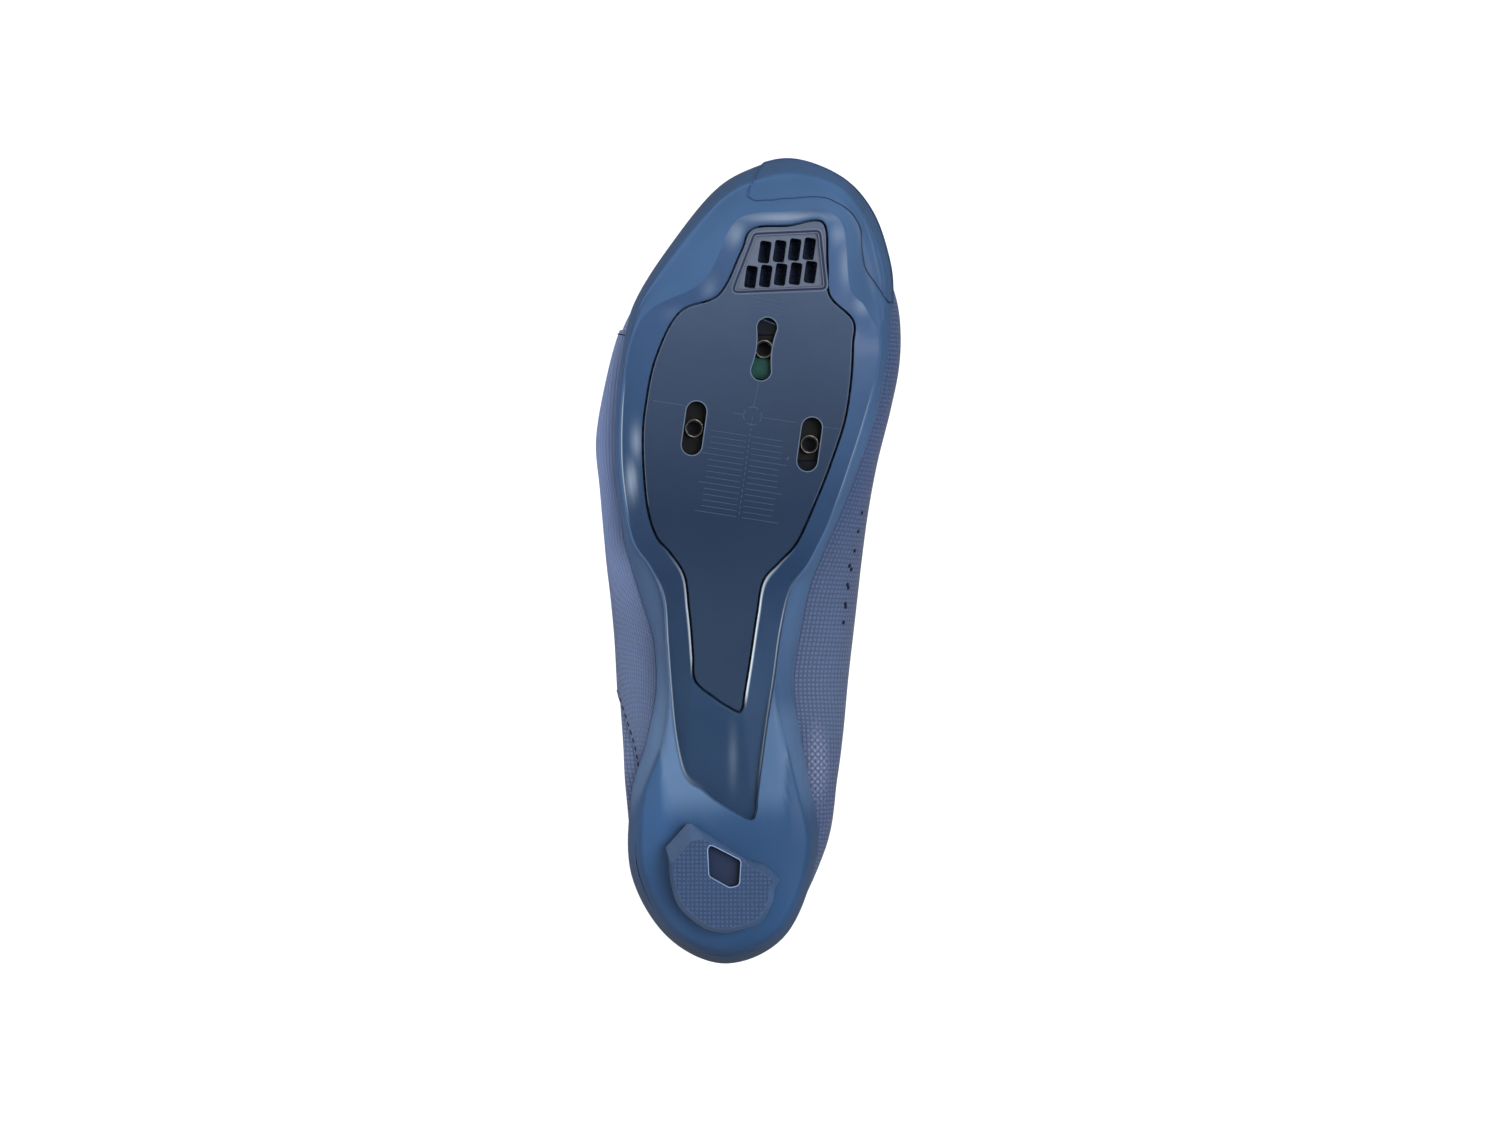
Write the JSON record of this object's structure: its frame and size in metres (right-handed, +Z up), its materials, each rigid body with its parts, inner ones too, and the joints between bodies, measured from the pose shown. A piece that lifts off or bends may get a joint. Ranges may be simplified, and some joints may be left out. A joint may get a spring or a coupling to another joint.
{
  "type": "cycling_shoe",
  "caption": "Right road cycling shoe with a nylon outsole, sole plate with slots for three cleat bolts, heel lug and hook-and-loop straps, lying on its outer side.",
  "frame": {"origin": "centre of the box around the lying shoe, on the floor", "axes": "+Z up, -X towards the toe, -Y the way the sole faces; the shoe lies on its outer side"},
  "size_m": [0.254, 0.0996, 0.0962],
  "materials": {
    "outsole": "injection-moulded nylon, glossy blue",
    "sole_plate": "moulded fibre-filled nylon plate, satin dark blue",
    "toe_grip": "thermoplastic rubber with a fine dot texture",
    "heel_pad": "thermoplastic rubber with a fine square texture",
    "nut": "dark zinc-plated steel",
    "upper": "embossed synthetic leather, grey blue",
    "insole": "knitted cover on foam",
    "tongue": "padded mesh",
    "strap": "coated woven strap with hook and loop"
  },
  "bodies": {
    "root": {"outsole": "outsole", "sole_plate": "sole_plate", "toe_grip": "toe_grip", "heel_pad": "heel_pad", "cleat_nut_plate": "nut", "upper": "upper", "insole": "insole", "tongue": "tongue", "strap_front": "strap", "strap_middle": "strap", "strap_instep": "strap"}
  },
  "joints": []
}
